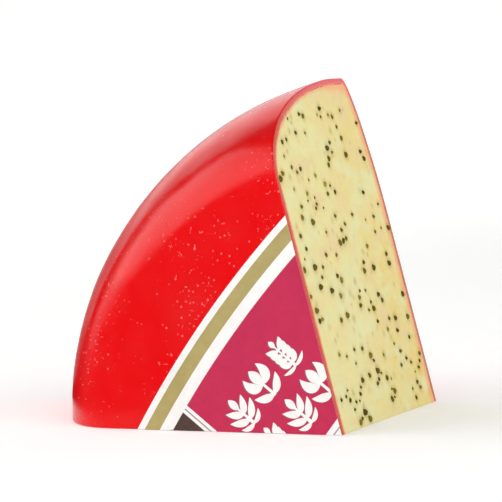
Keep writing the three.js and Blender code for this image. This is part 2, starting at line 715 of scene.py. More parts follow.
@dataclass(frozen=True)
class CutWaxFinish:
    """The wax where the knife went through it: paler, smeared with cheese, stained at the back."""

    front: Colour = linear(194, 58, 34)
    top: Colour = linear(224, 78, 90)
    back: Colour = linear(172, 92, 46)
    smear: Colour = linear(238, 146, 98)

    def build(self, shop: Workshop) -> bpy.types.Material:
        """Make the material, which reads how far round the rim each point is."""
        material, nodes, shader, place = shop.start("cut_wax")
        way = nodes.value_at("way_round")
        upper = nodes.mix(nodes.rise(way, 0.36, 0.5), self.front, self.top)
        base = nodes.mix(nodes.rise(way, 0.6, 0.68), upper, self.back)
        drag = nodes.noise(nodes.stretched(place, (0, 0, 0), (900.0, 900.0, 200.0)), 1.0, 3.0, 0.6)
        inner = nodes.rise(nodes.value_at("inwards"), 0.5, 1.0, 0.7)
        smeared = nodes.math("ADD", nodes.rise(drag, 0.5, 0.75, 0.35), inner, clamp=True)
        coloured = nodes.mix(smeared, base, self.smear)
        nodes.tree.links.new(coloured, shader.inputs["Base Color"])
        grain = shop.use(
            nodes, shop.grain, {"Vector": place, "Frequency": 900.0, "Evenness": 0.5}
        )
        shop.bump(nodes, shader, grain, 0.05 * MM)
        set_shader(shader, Roughness=0.45, IOR=1.45, Subsurface_Weight=0.1)
        set_shader(shader, Subsurface_Radius=(1.0, 0.3, 0.2), Subsurface_Scale=1.0 * MM)
        return material


@dataclass(frozen=True)
class CheeseFinish:
    """Pale, moist curd: streaked along the cut, warmer near the wax, stained near the seeds."""

    curd: Colour = linear(228, 217, 148)
    warm_curd: Colour = linear(227, 200, 98)
    pale: Colour = linear(224, 223, 164)
    shade: Colour = linear(228, 200, 150)
    rind: Colour = linear(240, 166, 118)
    stain: Colour = linear(150, 134, 14)

    def build(self, shop: Workshop, wheel: Wheel) -> bpy.types.Material:
        """Make the material.

        Args:
            shop: Where the shared groups are.
            wheel: Says where the front and back faces are.

        Returns:
            The material, which reads the values near_wax and stain.
        """
        material, nodes, shader, place = shop.start("seeded_curd")
        across = nodes.add("SeparateXYZ", {0: place}).outputs["Y"]
        middle = wheel.front_y + 0.35 * wheel.thickness
        warmth = nodes.rise(across, middle, wheel.front_y + wheel.thickness)
        cloudy = nodes.rise(nodes.noise(place, 45.0, 3.0, 0.6), 0.3, 0.7)
        warmth = nodes.math("MULTIPLY", warmth, nodes.math("ADD", cloudy, 0.25), clamp=True)
        base = nodes.mix(warmth, self.curd, self.warm_curd)
        turn = (0.0, math.pi / 2 - wheel.wedge_angle, 0.0)
        along = nodes.stretched(place, turn, (210.0, 330.0, 60.0))
        streaks = nodes.noise(along, 1.0, 4.0, 0.65)
        soft = nodes.stretched(place, (0.0, 0.0, 0.0), (150.0, 64.0, 150.0))
        clumps = nodes.noise(soft, 1.0, 3.0, 0.6)
        base = nodes.mix(nodes.rise(clumps, 0.45, 0.66, 0.9), base, self.pale)
        base = nodes.mix(nodes.rise(clumps, 0.47, 0.3, 0.7), base, self.shade)
        base = nodes.mix(nodes.rise(streaks, 0.5, 0.75, 0.2), base, self.pale)
        base = shop.use(
            nodes,
            shop.mottle,
            {
                "Vector": soft,
                "Colour": base,
                "Shade": self.shade,
                "Frequency": 2.6,
                "Strength": 0.4,
            },
        )
        near_wax = nodes.value_at("near_wax")
        ragged = nodes.math("MULTIPLY", nodes.noise(place, 300.0, 2.0, 0.6), 0.5)
        rind = nodes.rise(nodes.math("ADD", near_wax, ragged), 0.6, 1.15, 0.9)
        base = nodes.mix(rind, base, self.rind)
        base = nodes.mix(nodes.value_at("stain"), base, self.stain)
        nodes.tree.links.new(base, shader.inputs["Base Color"])
        grain = shop.use(
            nodes, shop.grain, {"Vector": place, "Frequency": 700.0, "Evenness": 0.45}
        )
        height = nodes.math("ADD", grain, nodes.math("MULTIPLY", streaks, 1.6))
        shop.bump(nodes, shader, height, 0.14 * MM)
        rough = nodes.rise(nodes.noise(place, 190.0, 2.0, 0.6), 0.25, 0.75, 0.2)
        nodes.tree.links.new(nodes.math("ADD", rough, 0.42), shader.inputs["Roughness"])
        set_shader(shader, IOR=1.42, Specular_IOR_Level=0.35, Subsurface_Weight=0.15)
        set_shader(shader, Subsurface_Radius=(1.0, 0.8, 0.35), Subsurface_Scale=1.4 * MM)
        return material


@dataclass(frozen=True)
class SeedFinish:
    """Whole seeds' skins, from nearly black to olive brown, seed by seed."""

    dark: Colour = linear(78, 60, 0)
    middle: Colour = linear(118, 98, 2)
    light: Colour = linear(164, 144, 34)

    def build(self, shop: Workshop) -> bpy.types.Material:
        """Make the material, which reads each seed's tone."""
        material, nodes, shader, place = shop.start("seed_skin")
        tone = nodes.value_at("tone")
        base = nodes.mix(nodes.rise(tone, 0.0, 0.6), self.dark, self.middle)
        base = nodes.mix(nodes.rise(tone, 0.6, 1.0), base, self.light)
        mottled = shop.use(
            nodes,
            shop.mottle,
            {
                "Vector": place,
                "Colour": base,
                "Shade": self.dark,
                "Frequency": 1600.0,
                "Strength": 0.4,
            },
        )
        nodes.tree.links.new(mottled, shader.inputs["Base Color"])
        grain = shop.use(
            nodes, shop.grain, {"Vector": place, "Frequency": 2500.0, "Evenness": 0.5}
        )
        shop.bump(nodes, shader, grain, 0.03 * MM)
        set_shader(shader, Roughness=0.55, IOR=1.45, Specular_IOR_Level=0.2)
        return material


class Ink(Enum):
    """The label's colours, as ink, its uneven shade, and how strongly it is mottled."""

    PAPER = (linear(240, 239, 237), linear(224, 222, 218), 0.5)
    GOLD = (linear(176, 160, 104), linear(160, 142, 84), 0.6)
    CRIMSON = (linear(194, 42, 80), linear(180, 34, 76), 0.7)
    BROWN = (linear(84, 62, 56), linear(60, 42, 38), 0.6)
    GREY = (linear(158, 146, 144), linear(132, 120, 120), 0.5)
    SHADOW = (linear(150, 78, 96), linear(136, 64, 84), 0.4)


@dataclass(frozen=True)
class PrintFinish:
    """Ink on a lightly varnished paper."""

    ink: Ink

    def build(self, shop: Workshop) -> bpy.types.Material:
        """Make the material."""
        colour, shade, strength = self.ink.value
        material, nodes, shader, place = shop.start("print_" + self.ink.name.lower())
        mottled = shop.use(
            nodes,
            shop.mottle,
            {
                "Vector": place,
                "Colour": colour,
                "Shade": shade,
                "Frequency": 330.0,
                "Strength": strength,
            },
        )
        nodes.tree.links.new(mottled, shader.inputs["Base Color"])
        fibre = nodes.stretched(place, (0.0, 0.9, 0.0), (500.0, 500.0, 1500.0))
        grain = shop.use(nodes, shop.grain, {"Vector": fibre, "Frequency": 1.0, "Evenness": 0.5})
        shop.bump(nodes, shader, grain, 0.015 * MM)
        set_shader(shader, Roughness=0.5, IOR=1.45, Specular_IOR_Level=0.25)
        return material


# ---------------------------------------------------------------------------------------------
# The cheese and its seeds
# ---------------------------------------------------------------------------------------------


@dataclass(frozen=True)
class Scatter:
    """Seeds lying in one cut face, as places on the wheel.

    Attributes:
        distance: Each seed's distance from the wheel's axis.
        depth: Its depth behind the front face.
        size: Half of its length.
        buried: How far each lies under the cut, from 0, at the surface, to 1, only a shadow.
    """

    distance: Array
    depth: Array
    size: Array
    buried: Array


@dataclass
class Cheese:
    """The cheese inside the wax: its two cut faces, its hidden outside, its seeds and eyes.

    Attributes:
        wheel: The wheel that it was cut from.
        gap: How far it keeps from the wax.
        rows: Points along a cut face, from the axis to the rim.
        columns: Points across a cut face, from the front to the back.
        turns: Points between the two cuts, on the hidden outside.
        crowding: How much closer the rows lie towards the rim.
        open_eyes: The eyes that each hold a seed, as distance, depth and size.
        small_eyes: How many smaller eyes are strewn over a face.
        seeds_large: How many of the seeds are large.
        seeds_shown: How many seeds show in a face.
        seeds_buried: How many lie just under it.
        clusters: Round how many places the seeds gather.
        fade: How far from its border a face is flat.
    """

    wheel: Wheel
    gap: float = 0.02 * MM
    rows: int = 236
    columns: int = 148
    turns: int = 30
    crowding: float = 1.8
    open_eyes: tuple = ((12.4 * MM, 34 * MM, 1.5 * MM), (3.4 * MM, 18.6 * MM, 1.4 * MM))
    small_eyes: int = 7
    seeds_large: int = 24
    seeds_shown: int = 150
    seeds_buried: int = 95
    clusters: int = 34
    fade: float = 1.2 * MM

    def __post_init__(self) -> None:
        """Work out the cross-section once."""
        outline = self.wheel.inset_outline(self.wheel.wax + self.gap)
        tip = int(outline[:, 0].argmax())
        self.outline = outline
        self.reach = float(outline[tip, 0])
        self.front_side = outline[: tip + 1]
        self.back_side = outline[tip:][::-1]

    def between(self, distance: Array, share: Array) -> Array:
        """Give the depth at a share of the way from the front to the back surface."""
        front = np.interp(distance, self.front_side[:, 0], self.front_side[:, 1])
        back = np.interp(distance, self.back_side[:, 0], self.back_side[:, 1])
        return front + share * (back - front)

    def distances(self) -> Array:
        """Space the rows, closer and closer towards the rim, where the outline turns."""
        spread = np.linspace(0, 1, self.rows)
        return self.reach * (1 - (1 - spread) ** self.crowding)

    def scatter(self, seed: int) -> Scatter:
        """Strew seeds over a cut face, some alone and some in loose clusters.

        The first ones lie in the open eyes, and they and the next few are the largest.

        Args:
            seed: Which random numbers to use.

        Returns:
            The seeds, none closer together than their own size.
        """
        rng = np.random.default_rng(seed)
        centres = rng.uniform((2 * MM, 4 * MM), (84 * MM, 66 * MM), (self.clusters, 2))
        wanted = self.seeds_shown + self.seeds_buried
        kept: list[Array] = [np.array((along, into)) for along, into, _ in self.open_eyes]
        while len(kept) < wanted:
            lone = rng.random() < 0.52
            start = rng.uniform((0, 0), (86 * MM, 70 * MM)) if lone else rng.choice(centres)
            spot = start + (0 if lone else rng.normal(0, 2.3 * MM, 2))
            near_edge = spot[0] < 0.9 * MM or nearest_distance(spot[None], self.outline)[0] < 0.8 * MM
            inside = 0 < spot[0] < self.reach and (
                self.between(spot[0], 0) < spot[1] < self.between(spot[0], 1)
            )
            apart = all(np.hypot(*(spot - other)) > 1.55 * MM for other in kept)
            if inside and apart and not near_edge:
                kept.append(spot)
        places = np.array(kept)
        size = rng.lognormal(math.log(0.68 * MM), 0.26, wanted).clip(0.38 * MM, 1.0 * MM)
        size[: self.seeds_large] = rng.uniform(0.85, 1.05, self.seeds_large) * MM
        buried = np.concatenate(
            [rng.random(self.seeds_shown) ** 2 * 0.3, rng.uniform(0.45, 1, self.seeds_buried)]
        )
        buried[: self.seeds_large] = 0.0
        return Scatter(places[:, 0], places[:, 1], size, buried)

    def stain(self, distance: Array, depth: Array, seeds: Scatter) -> Array:
        """Darken the curd over buried seeds and in a faint ring round those that show.

        Each seed adds a bell curve of its own width, and the strongest one counts.

        Args:
            distance: Each point's distance from the axis.
            depth: Each point's depth behind the front face.
            seeds: The seeds that stain the face.

        Returns:
            The stain at each point, from 0 to 1.
        """
        stain = np.zeros(distance.shape)
        for at, into, size, buried in zip(seeds.distance, seeds.depth, seeds.size, seeds.buried):
            away = np.hypot(distance - at, depth - into)
            strength = 0.85 * (1.1 - buried) if buried > 0.4 else 0.6
            width = size * (1.0 if buried > 0.4 else 1.4)
            stain = np.maximum(stain, strength * np.exp(-((away / width) ** 2)))
        return stain

    def relief(self, distance: Array, depth: Array, seeds: Scatter, seed: int) -> Array:
        """Work out how far a cut face rises and falls.

        The sum of long drag marks along the cut, broad unevenness and fine crumbs, less a
        shallow dish round each seed and a few open eyes with steep sides and ragged outlines.
        It fades to nothing at the borders.

        Args:
            distance: Each point's distance from the axis.
            depth: Each point's depth behind the front face.
            seeds: The seeds that lie in the face.
            seed: Which random numbers to use.

        Returns:
            The height of each point above the flat cut.
        """
        flat = np.stack([distance, depth, np.zeros_like(depth)], -1)
        drag = lattice_noise(flat, (14 * MM, 0.9 * MM, 1.0), seed)
        broad = lattice_noise(flat, 9 * MM, seed + 1)
        crumbs = lattice_noise(flat, 1.3 * MM, seed + 2)
        height = 0.035 * MM * drag + 0.12 * MM * broad + 0.03 * MM * crumbs
        for at, into, size, buried in zip(seeds.distance, seeds.depth, seeds.size, seeds.buried):
            away = np.hypot(distance - at, depth - into) / (1.15 * size)
            height -= (buried < 0.4) * 0.16 * MM * np.exp(-(away**4))
        rng = np.random.default_rng(seed)
        eyes = list(self.open_eyes)
        eyes += [
            (rng.uniform(8, 80) * MM, rng.uniform(14, 60) * MM, rng.uniform(0.7, 1.1) * MM)
            for _ in range(self.small_eyes)
        ]
        ragged = 1 + 0.3 * lattice_noise(flat, 0.8 * MM, seed + 3)
        for at, into, size in eyes:
            away = np.hypot(distance - at, depth - into) / (size * ragged)
            height -= 0.6 * size * smooth_step(-away, -1.25, -0.2)
        edge = np.minimum(nearest_distance(flat[..., :2], self.outline), distance)
        return height * smooth_step(edge, 0, self.fade)

    def face(self, angle: float, seeds: Scatter, seed: int) -> Patch:
        """Make one cut face.

        Args:
            angle: The cut's angle up from the lower cut.
            seeds: The seeds that stain it.
            seed: Which random numbers shape its relief.

        Returns:
            The face, with the values near_wax and stain.
        """
        distance = np.broadcast_to(self.distances()[:, None], (self.rows, self.columns))
        depth = self.between(distance, np.linspace(0, 1, self.columns)[None, :])
        height = self.relief(distance, depth, seeds, seed)
        if angle == 0:
            height = np.minimum(height, 0)
        points = self.wheel.place(distance, depth, angle)
        points = points + height[..., None] * self.wheel.cut_normal(angle)
        edge = nearest_distance(np.stack([distance, depth], -1), self.outline)
        reach = 1.7 * MM + 3.3 * MM * smooth_step(depth, 36 * MM, 62 * MM)
        values = {
            "near_wax": 1 - np.clip(edge / reach, 0, 1),
            "stain": self.stain(distance, depth, seeds),
        }
        return Patch(points, 0, values)

    def outside(self, share: int) -> Patch:
        """Make the front or the back, which the wax hides.

        Args:
            share: 0 for the front and 1 for the back.

        Returns:
            The surface, with the value near_wax.
        """
        angle = np.linspace(0, self.wheel.wedge_angle, self.turns)[:, None]
        distance = self.distances()[None, :]
        depth = self.between(distance, share)
        return Patch(self.wheel.place(distance, depth, angle), 0, {"near_wax": np.array(1.0)})

    def seed_shapes(self, angle: float, seeds: Scatter, seed: int) -> Patch:
        """Make the seeds that show in a cut face.

        Each is a slightly lumpy ellipsoid, x, y and z being the sines and cosines of a
        latitude and a longitude, turned a little in the cut and sunk most of the way in. The
        lower cut's seeds were sliced through by the knife, level with the cut.

        Args:
            angle: The cut's angle up from the lower cut.
            seeds: Where the seeds lie.
            seed: Which random numbers turn and tint them.

        Returns:
            All the seeds as copies of one grid, with the value tone.
        """
        rng = np.random.default_rng(seed)
        shown = seeds.buried < 0.4
        count = int(shown.sum())
        latitude = np.linspace(0, math.pi, 7)[:, None]
        longitude = np.linspace(0, 2 * math.pi, 10)[None, :]
        unit = np.stack(
            [
                np.sin(latitude) * np.cos(longitude),
                np.sin(latitude) * np.sin(longitude),
                np.cos(latitude) * np.ones_like(longitude),
            ],
            -1,
        )
        size = seeds.size[shown][:, None, None]
        squash = rng.uniform(0.6, 0.95, (count, 1, 1))
        turn = rng.uniform(0, math.pi, (count, 1, 1))
        lumps = 1 + 0.18 * lattice_noise(unit + 10 * np.arange(count)[:, None, None, None], 0.8, 5)
        long = unit[..., 0] * size * lumps
        short = unit[..., 1] * size * squash * lumps
        up = unit[..., 2] * size * 0.85 * lumps
        above = up - (0.4 + 0.9 * seeds.buried[shown][:, None, None]) * size * 0.85
        if angle == 0:
            above = np.minimum(above, 0)
        centre = self.wheel.place(seeds.distance[shown], seeds.depth[shown], angle)
        radial = self.wheel.place(np.array(1.0), np.array(0.0), angle) - self.wheel.place(
            np.array(0.0), np.array(0.0), angle
        )
        normal = self.wheel.cut_normal(angle)
        along = long * np.cos(turn) - short * np.sin(turn)
        across = long * np.sin(turn) + short * np.cos(turn)
        points = (
            centre[:, None, None, :]
            + along[..., None] * radial
            + across[..., None] * np.array([0.0, 1.0, 0.0])
            + above[..., None] * normal
        )
        tone = np.broadcast_to(rng.beta(1.6, 2.4, (count, 1, 1)), points.shape[:-1])
        return Patch(points, 0, {"tone": tone})

    def build(self, shop: Workshop) -> list[bpy.types.Object]:
        """Make the cheese and its seeds.

        Args:
            shop: Where the materials are made.

        Returns:
            The cheese and the seeds of each cut face.
        """
        upper, lower = self.wheel.wedge_angle, 0.0
        seeds = {upper: self.scatter(11), lower: self.scatter(29)}
        patches = [
            self.face(upper, seeds[upper], 3),
            self.face(lower, seeds[lower], 17),
            self.outside(0),
            self.outside(1),
        ]
        paste = make_piece("cheese_paste", patches, [CheeseFinish().build(shop, self.wheel)])
        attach(paste, ROOT)
        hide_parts("cheese")
        skin = SeedFinish().build(shop)
        made = [paste]
        for name, angle in (("seeds_upper_cut", upper), ("seeds_lower_cut", lower)):
            piece = make_piece(name, [self.seed_shapes(angle, seeds[angle], 41)], [skin])
            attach(piece, ROOT)
            made.append(piece)
        return made


# ---------------------------------------------------------------------------------------------
# The wax coat
# ---------------------------------------------------------------------------------------------


@dataclass
class WaxCoat:
    """The shell of wax: over both flat faces and the rim, open at the two cuts.

    Attributes:
        wheel: The wheel that it coats.
        edge_round: The rounding where a cut meets the outside.
        turns: Points between the two cuts, besides the ones close to each.
        strip_columns: Points across the coat's cut edge.
        lump_height: How much the rim's lumps rise.
    """

    wheel: Wheel
    edge_round: float = 0.3 * MM
    turns: int = 96
    strip_columns: int = 7
    lump_height: float = 0.2 * MM

    def angles(self) -> Array:
        """Space the columns evenly, with some more close to each cut for its rounded edge."""
        rim = self.wheel.radius * self.wheel.wedge_angle
        near = np.array([0, 0.03, 0.08, 0.15, 0.23, 0.31, 0.6]) * MM / rim
        middle = np.linspace(1.2 * MM / rim, 1 - 1.2 * MM / rim, self.turns)
        return self.wheel.wedge_angle * np.concatenate([near, middle, 1 - near[::-1]])

    def outer(self) -> Array:
        """Make the outer skin, softly lumpy on the rim, flat on the faces and round at its edges.

        A point is the outline's, moved along its normal by a sum of smooth noises and, close
        to a cut, inwards by what a quarter circle of the edge's radius takes away.

        Returns:
            The points, with a row for each angle and a column for each outline point.
        """
        outline, normals = self.wheel.outline()
        angle = self.angles()[:, None]
        points = self.wheel.place(outline[None, :, 0], outline[None, :, 1], angle)
        lumps = (
            lattice_noise(points, 17 * MM, 2)
            + 0.4 * lattice_noise(points, 7 * MM, 3)
            + 0.12 * lattice_noise(points, 2.5 * MM, 4)
        )
        flat_end = self.wheel.radius - self.wheel.front_reach
        on_rim = 0.12 + 0.88 * smooth_step(outline[:, 0], flat_end - 2 * MM, flat_end + 9 * MM)
        rise = self.lump_height * (lumps - 0.6) * on_rim[None, :]
        from_cut = outline[None, :, 0] * np.minimum(
            np.sin(angle), np.sin(self.wheel.wedge_angle - angle)
        )
        inside = np.clip(self.edge_round - from_cut, 0, None)
        rise = rise - (self.edge_round - np.sqrt(self.edge_round**2 - inside**2))
        moved = outline[None] + rise[..., None] * normals[None]
        moved[..., 0] = np.maximum(moved[..., 0], 0)
        return self.wheel.place(moved[..., 0], moved[..., 1], angle)

    def inner(self) -> Array:
        """Make the inner skin, against the cheese, with the same rows and columns."""
        outline = self.wheel.inset_outline(self.wheel.wax)
        return self.wheel.place(outline[None, :, 0], outline[None, :, 1], self.angles()[:, None])

    def cut_strip(self, outer: Array, inner: Array, angle: float) -> Patch:
        """Make the wax's cut edge, which frames one cut face.

        Args:
            outer: The outer skin's border at the cut.
            inner: The inner skin's border at the cut.
            angle: The cut's angle.

        Returns:
            The strip, with the values way_round, from 0 at the front face's middle to 1 at
            the back's, and inwards, from 0 at the outside to 1 at the cheese.
        """
        share = np.linspace(0, 1, self.strip_columns)[None, :]
        points = outer[:, None] * (1 - share[..., None]) + inner[:, None] * share[..., None]
        wander = lattice_noise(points, 1.1 * MM, 6)
        height = 0.03 * MM * (wander - (angle == 0)) * np.sin(math.pi * share)
        points = points + height[..., None] * self.wheel.cut_normal(angle)
        steps = np.linalg.norm(np.diff(outer, axis=0), axis=-1)
        way = np.concatenate([[0], np.cumsum(steps)]) / steps.sum()
        shape = points.shape[:-1]
        values = {
            "way_round": np.broadcast_to(way[:, None], shape),
            "inwards": np.broadcast_to(share, shape),
        }
        return Patch(points, 1, values)

    def build(self, shop: Workshop) -> bpy.types.Object:
        """Make the coat.

        Args:
            shop: Where the materials are made.

        Returns:
            The coat, which wears plain wax and, on its cut edges, cut wax.
        """
        outer, inner = self.outer(), self.inner()
        patches = [
            Patch(outer),
            Patch(inner),
            self.cut_strip(outer[0], inner[0], 0.0),
            self.cut_strip(outer[-1], inner[-1], self.wheel.wedge_angle),
        ]
        materials = [WaxFinish().build(shop, self.wheel), CutWaxFinish().build(shop)]
        coat = make_piece("wax_shell", patches, materials, math.radians(50))
        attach(coat, ROOT)
        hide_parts("wax_coat")
        return coat


# ---------------------------------------------------------------------------------------------
# The label
# ---------------------------------------------------------------------------------------------


@dataclass(frozen=True)
class Stroke:
    """A brush stroke: a bent centre line with a width that swells or tapers along it.

    Attributes:
        line: Start, bend and end of the centre line, in shares of the ornament's height.
        widths: Half-widths that the start, the middle and the end are drawn towards.
    """

    line: tuple[tuple[float, float], tuple[float, float], tuple[float, float]]
    widths: tuple[float, float, float]

    def mirrored(self) -> "Stroke":
        """Give the same stroke on the other side of the ornament's stem."""
        return Stroke(tuple((1 - x, y) for x, y in self.line), self.widths)

    def grid(self, steps: int = 16, sides: int = 5) -> Array:
        """Work out the stroke's surface.

        The centre line and the half-width are both quadratic Bezier curves of the share
        along the stroke, and the surface reaches the half-width to each side of the line.

        Args:
            steps: Points along the stroke.
            sides: Points across it.

        Returns:
            The points, as shares of the ornament's height, across and up.
        """
        share = np.linspace(0, 1, steps)[:, None]
        start, bend, end = (np.array(point) for point in self.line)
        centre = (1 - share) ** 2 * start + 2 * share * (1 - share) * bend + share**2 * end
        slope = 2 * (1 - share) * (bend - start) + 2 * share * (end - bend)
        slope = slope / np.linalg.norm(slope, axis=-1, keepdims=True)
        sideways = slope[:, ::-1] * (-1, 1)
        first, middle, last = self.widths
        width = (1 - share) ** 2 * first + 2 * share * (1 - share) * middle + share**2 * last
        reach = np.linspace(-1, 1, sides)[None, :, None]
        return centre[:, None, :] + reach * (width * sideways)[:, None, :]


def both_sides(strokes: list[Stroke]) -> list[Stroke]:
    """Add each stroke's mirror image to a list of strokes."""
    return strokes + [stroke.mirrored() for stroke in strokes]


class Ornament(Enum):
    """Printed plant ornaments, each a list of strokes in a box one high and one wide."""

    SPRIG = [
        Stroke(((0.5, 0.0), (0.5, 0.3), (0.5, 0.7)), (0.06, 0.035, 0.03)),
        Stroke(((0.5, 0.58), (0.5, 0.8), (0.5, 1.0)), (0.0, 0.22, 0.0)),
        *both_sides(
            [
                Stroke(((0.5, 0.42), (0.66, 0.5), (0.86, 0.82)), (0.02, 0.2, 0.0)),
                Stroke(((0.5, 0.2), (0.74, 0.24), (0.98, 0.56)), (0.02, 0.2, 0.0)),
                Stroke(((0.5, 0.04), (0.72, -0.02), (0.9, 0.2)), (0.02, 0.13, 0.0)),
            ]
        ),
    ]
    BLOOM = [
        Stroke(((0.5, 0.0), (0.5, 0.25), (0.5, 0.56)), (0.05, 0.035, 0.04)),
        Stroke(((0.5, 0.44), (0.5, 0.74), (0.5, 1.0)), (0.0, 0.3, 0.0)),
        *both_sides(
            [
                Stroke(((0.52, 0.46), (0.92, 0.5), (0.8, 0.98)), (0.02, 0.28, 0.0)),
                Stroke(((0.5, 0.06), (0.78, 0.08), (1.0, 0.4)), (0.02, 0.22, 0.0)),
            ]
        ),
    ]
    EAR = [
        Stroke(((0.5, 0.0), (0.5, 0.4), (0.5, 0.86)), (0.05, 0.03, 0.02)),
        Stroke(((0.5, 0.76), (0.5, 0.9), (0.5, 1.02)), (0.0, 0.16, 0.0)),
        *both_sides(
            [
                Stroke(((0.52, low), (0.7, low + 0.04), (0.8, low + 0.24)), (0.02, 0.17, 0.0))
                for low in (0.14, 0.31, 0.48, 0.65)
            ]
            + [Stroke(((0.5, 0.02), (0.74, -0.02), (0.94, 0.12)), (0.02, 0.1, 0.0))]
        ),
    ]


@dataclass
class Label:
    """What the two cuts left of the printed label on the front face.

    Its own coordinates start at the sharp corner: across runs along the print's lines, and up
    runs away from the corner, halfway between the cuts.

    Attributes:
        wheel: The wheel that it is stuck to.
        corner: The distance from the axis to the label's two outer corners, on the cuts.
        arc_radius: The radius of its bowed outer edge.
        paper: Its thickness.
        ink: The thickness given to one layer of print.
        trim_width: The width of the white trim outside the gold band.
        gold_width: The width of the gold band.
        border_width: The width of the white border inside it.
        side_rule_at: Where the white strip between the crimson field and the brown panel is.
        side_rule_width: The strip's width.
        foot_height: The height of the white strip at the sharp corner.
        hair_line: The width of the thinnest lines.
        print_height: The height of an ornament.
        line_starts: How high up each line of ornaments stands.
        line_offsets: How far across each line's first ornament is.
        ornament_step: The distance from one ornament to the next.
    """

    wheel: Wheel
    corner: float
    arc_radius: float = 270 * MM
    paper: float = 0.16 * MM
    ink: float = 0.012 * MM
    trim_width: float = 1.7 * MM
    gold_width: float = 3.6 * MM
    border_width: float = 3.1 * MM
    side_rule_at: float = -20.35 * MM
    side_rule_width: float = 2.05 * MM
    foot_height: float = 3.3 * MM
    hair_line: float = 0.34 * MM
    print_height: float = 9.1 * MM
    line_starts: tuple = (19.3 * MM, 7.7 * MM)
    line_offsets: tuple = (-12.2 * MM, -11.6 * MM)
    ornament_step: float = 9.2 * MM

    @classmethod
    def of_frame(cls, wheel: Wheel) -> "Label":
        """Take the label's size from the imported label."""
        low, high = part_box("label")
        return cls(wheel=wheel, corner=high.x - low.x)

    def __post_init__(self) -> None:
        """Work out where the outer edge's centre is, below the sharp corner."""
        half = self.wheel.wedge_angle / 2
        spread = math.asin(self.corner * math.sin(half) / self.arc_radius)
        self.half = half
        self.drop = self.arc_radius * math.cos(spread) - self.corner * math.cos(half)

    def place(self, across: Array, up: Array, lift: float) -> Array:
        """Turn label coordinates into points, with a faint waviness as of damp paper.

        Args:
            across: Along the print's lines.
            up: Away from the sharp corner.
            lift: Above the wax.

        Returns:
            The points.
        """
        across, up = np.broadcast_arrays(across, up)
        x = self.wheel.edge_x + across * math.sin(self.half) - up * math.cos(self.half)
        z = across * math.cos(self.half) + up * math.sin(self.half)
        wave = 0.035 * MM * lattice_noise(np.stack([across, up, np.zeros_like(up)], -1), 9 * MM, 8)
        y = self.wheel.front_y - lift - np.abs(wave)
        return np.stack([x, y, z], -1)

    def inside(self, across: Array, up: Array) -> tuple[Array, Array]:
        """Pull label coordinates that lie beyond a cut onto the cut."""
        up = np.maximum(up, 0)
        limit = up * math.tan(self.half)
        return np.clip(across, -limit, limit), up

    def sheet(
        self, across: Array, up: Array, layer: int, slot: int, extra: float = 0.0
    ) -> list[Patch]:
        """Make a thin layer of print over a grid of label coordinates.

        Args:
            across: The grid's coordinates along the print's lines.
            up: Its coordinates away from the sharp corner.
            layer: How many layers of print lie at or below it.
            slot: Which material it wears.
            extra: A little more height, which keeps overlapping strokes from coinciding.

        Returns:
            The closed layer.
        """
        across, up = self.inside(across, up)
        base = self.paper + (layer - 1) * self.ink
        front = self.place(across, up, base + self.ink + extra)
        return slab(front, self.place(across, up, base), slot)

    def arc_band(self, outer: float, inner: float, rows: int) -> tuple[Array, Array]:
        """Work out the grid between two arcs that share the outer edge's centre.

        At each radius, the band runs between the angles at which the arc meets the two cuts.

        Args:
            outer: The outer radius.
            inner: The inner radius.
            rows: Rows from the one to the other.

        Returns:
            The label coordinates across and up.
        """
        radius = np.linspace(outer, inner, rows)[:, None]
        ratio = np.clip(self.drop * math.sin(self.half) / radius, -1, 1)
        widest = self.half - np.arcsin(ratio)
        angle = widest * np.linspace(-1, 1, 49)[None, :]
        return radius * np.sin(angle), radius * np.cos(angle) - self.drop

    def column(self, left: float, right: float, radius: float) -> tuple[Array, Array]:
        """Work out the grid of an upright strip, from the cut below it up to an arc.

        Args:
            left: The strip's left edge.
            right: Its right edge.
            radius: The arc's radius.

        Returns:
            The label coordinates across and up.
        """
        across = np.linspace(left, right, 12)[:, None]
        low = np.abs(across) / math.tan(self.half)
        high = np.maximum(np.sqrt(radius**2 - across**2) - self.drop, low)
        share = np.linspace(0, 1, 10)[None, :]
        return np.broadcast_to(across, (12, 10)), low + share * (high - low)

    def row(self, low: float, high: float) -> tuple[Array, Array]:
        """Work out the grid of a level strip between two heights, from cut to cut."""
        up = np.linspace(low, high, 4)[:, None]
        across = np.linspace(-1, 1, 12)[None, :] * up * math.tan(self.half)
        return across, np.broadcast_to(up, across.shape)

    def paper_patches(self) -> list[Patch]:
        """Make the paper: white, with a gold band along its bowed edge and a crimson field."""
        radii = self.arc_radius - np.cumsum([0, self.trim_width, self.gold_width, self.border_width])
        bands = [(radii[0], radii[1], 3, Ink.PAPER), (radii[1], radii[2], 4, Ink.GOLD)]
        bands += [(radii[2], radii[3], 4, Ink.PAPER), (radii[3], self.drop, 40, Ink.CRIMSON)]
        inks = list(Ink)
        patches = []
        for outer, inner, rows, ink in bands:
            across, up = self.arc_band(outer, inner, rows)
            patches.append(Patch(self.place(across, up, self.paper), inks.index(ink)))
            patches.append(Patch(self.place(across, up, 0.0), inks.index(Ink.PAPER)))
            for side in (0, -1):
                ends = [self.place(across[:, side], up[:, side], lift) for lift in (self.paper, 0.0)]
                patches.append(Patch(np.stack(ends), inks.index(Ink.GREY)))
        across, up = self.arc_band(radii[0], radii[1], 3)
        rim = [self.place(across[0], up[0], lift) for lift in (self.paper, 0.0)]
        patches.append(Patch(np.stack(rim), inks.index(Ink.PAPER)))
        return patches

